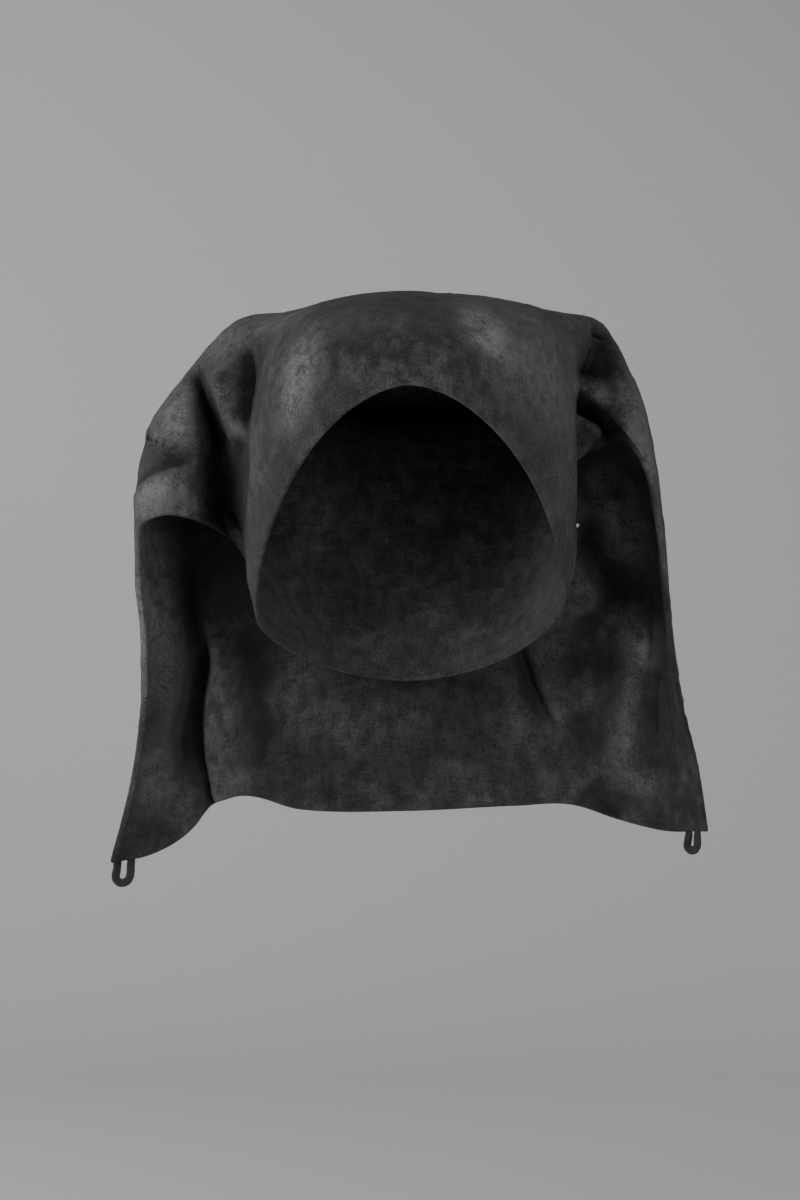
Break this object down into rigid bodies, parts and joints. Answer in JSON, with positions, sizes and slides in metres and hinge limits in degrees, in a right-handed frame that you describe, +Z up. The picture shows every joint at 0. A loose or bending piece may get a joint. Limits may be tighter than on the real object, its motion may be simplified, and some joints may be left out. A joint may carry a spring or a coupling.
{
  "type": "long beanie hood",
  "caption": "Long linen bag hat worn as a hood: open at the face, folded over behind the crown, with a wide double tail down the back and a loop at each bottom corner.",
  "frame": {"origin": "where the crown rests on top of the wearer's head, on the inside of the cloth", "axes": "+Z up, +Y backwards from the face, +X towards the wearer's left, which is the right of the front view"},
  "size_m": [0.3268, 0.232, 0.3152],
  "materials": {
    "black_linen": "matte washed linen",
    "loop_linen": "matte rolled linen",
    "stud_metal": "satin"
  },
  "bodies": {
    "root": {"outer_panel": "black_linen", "inner_panel": "black_linen", "left_corner_loop": "loop_linen", "right_corner_loop": "loop_linen", "side_stud": "stud_metal"}
  },
  "joints": []
}
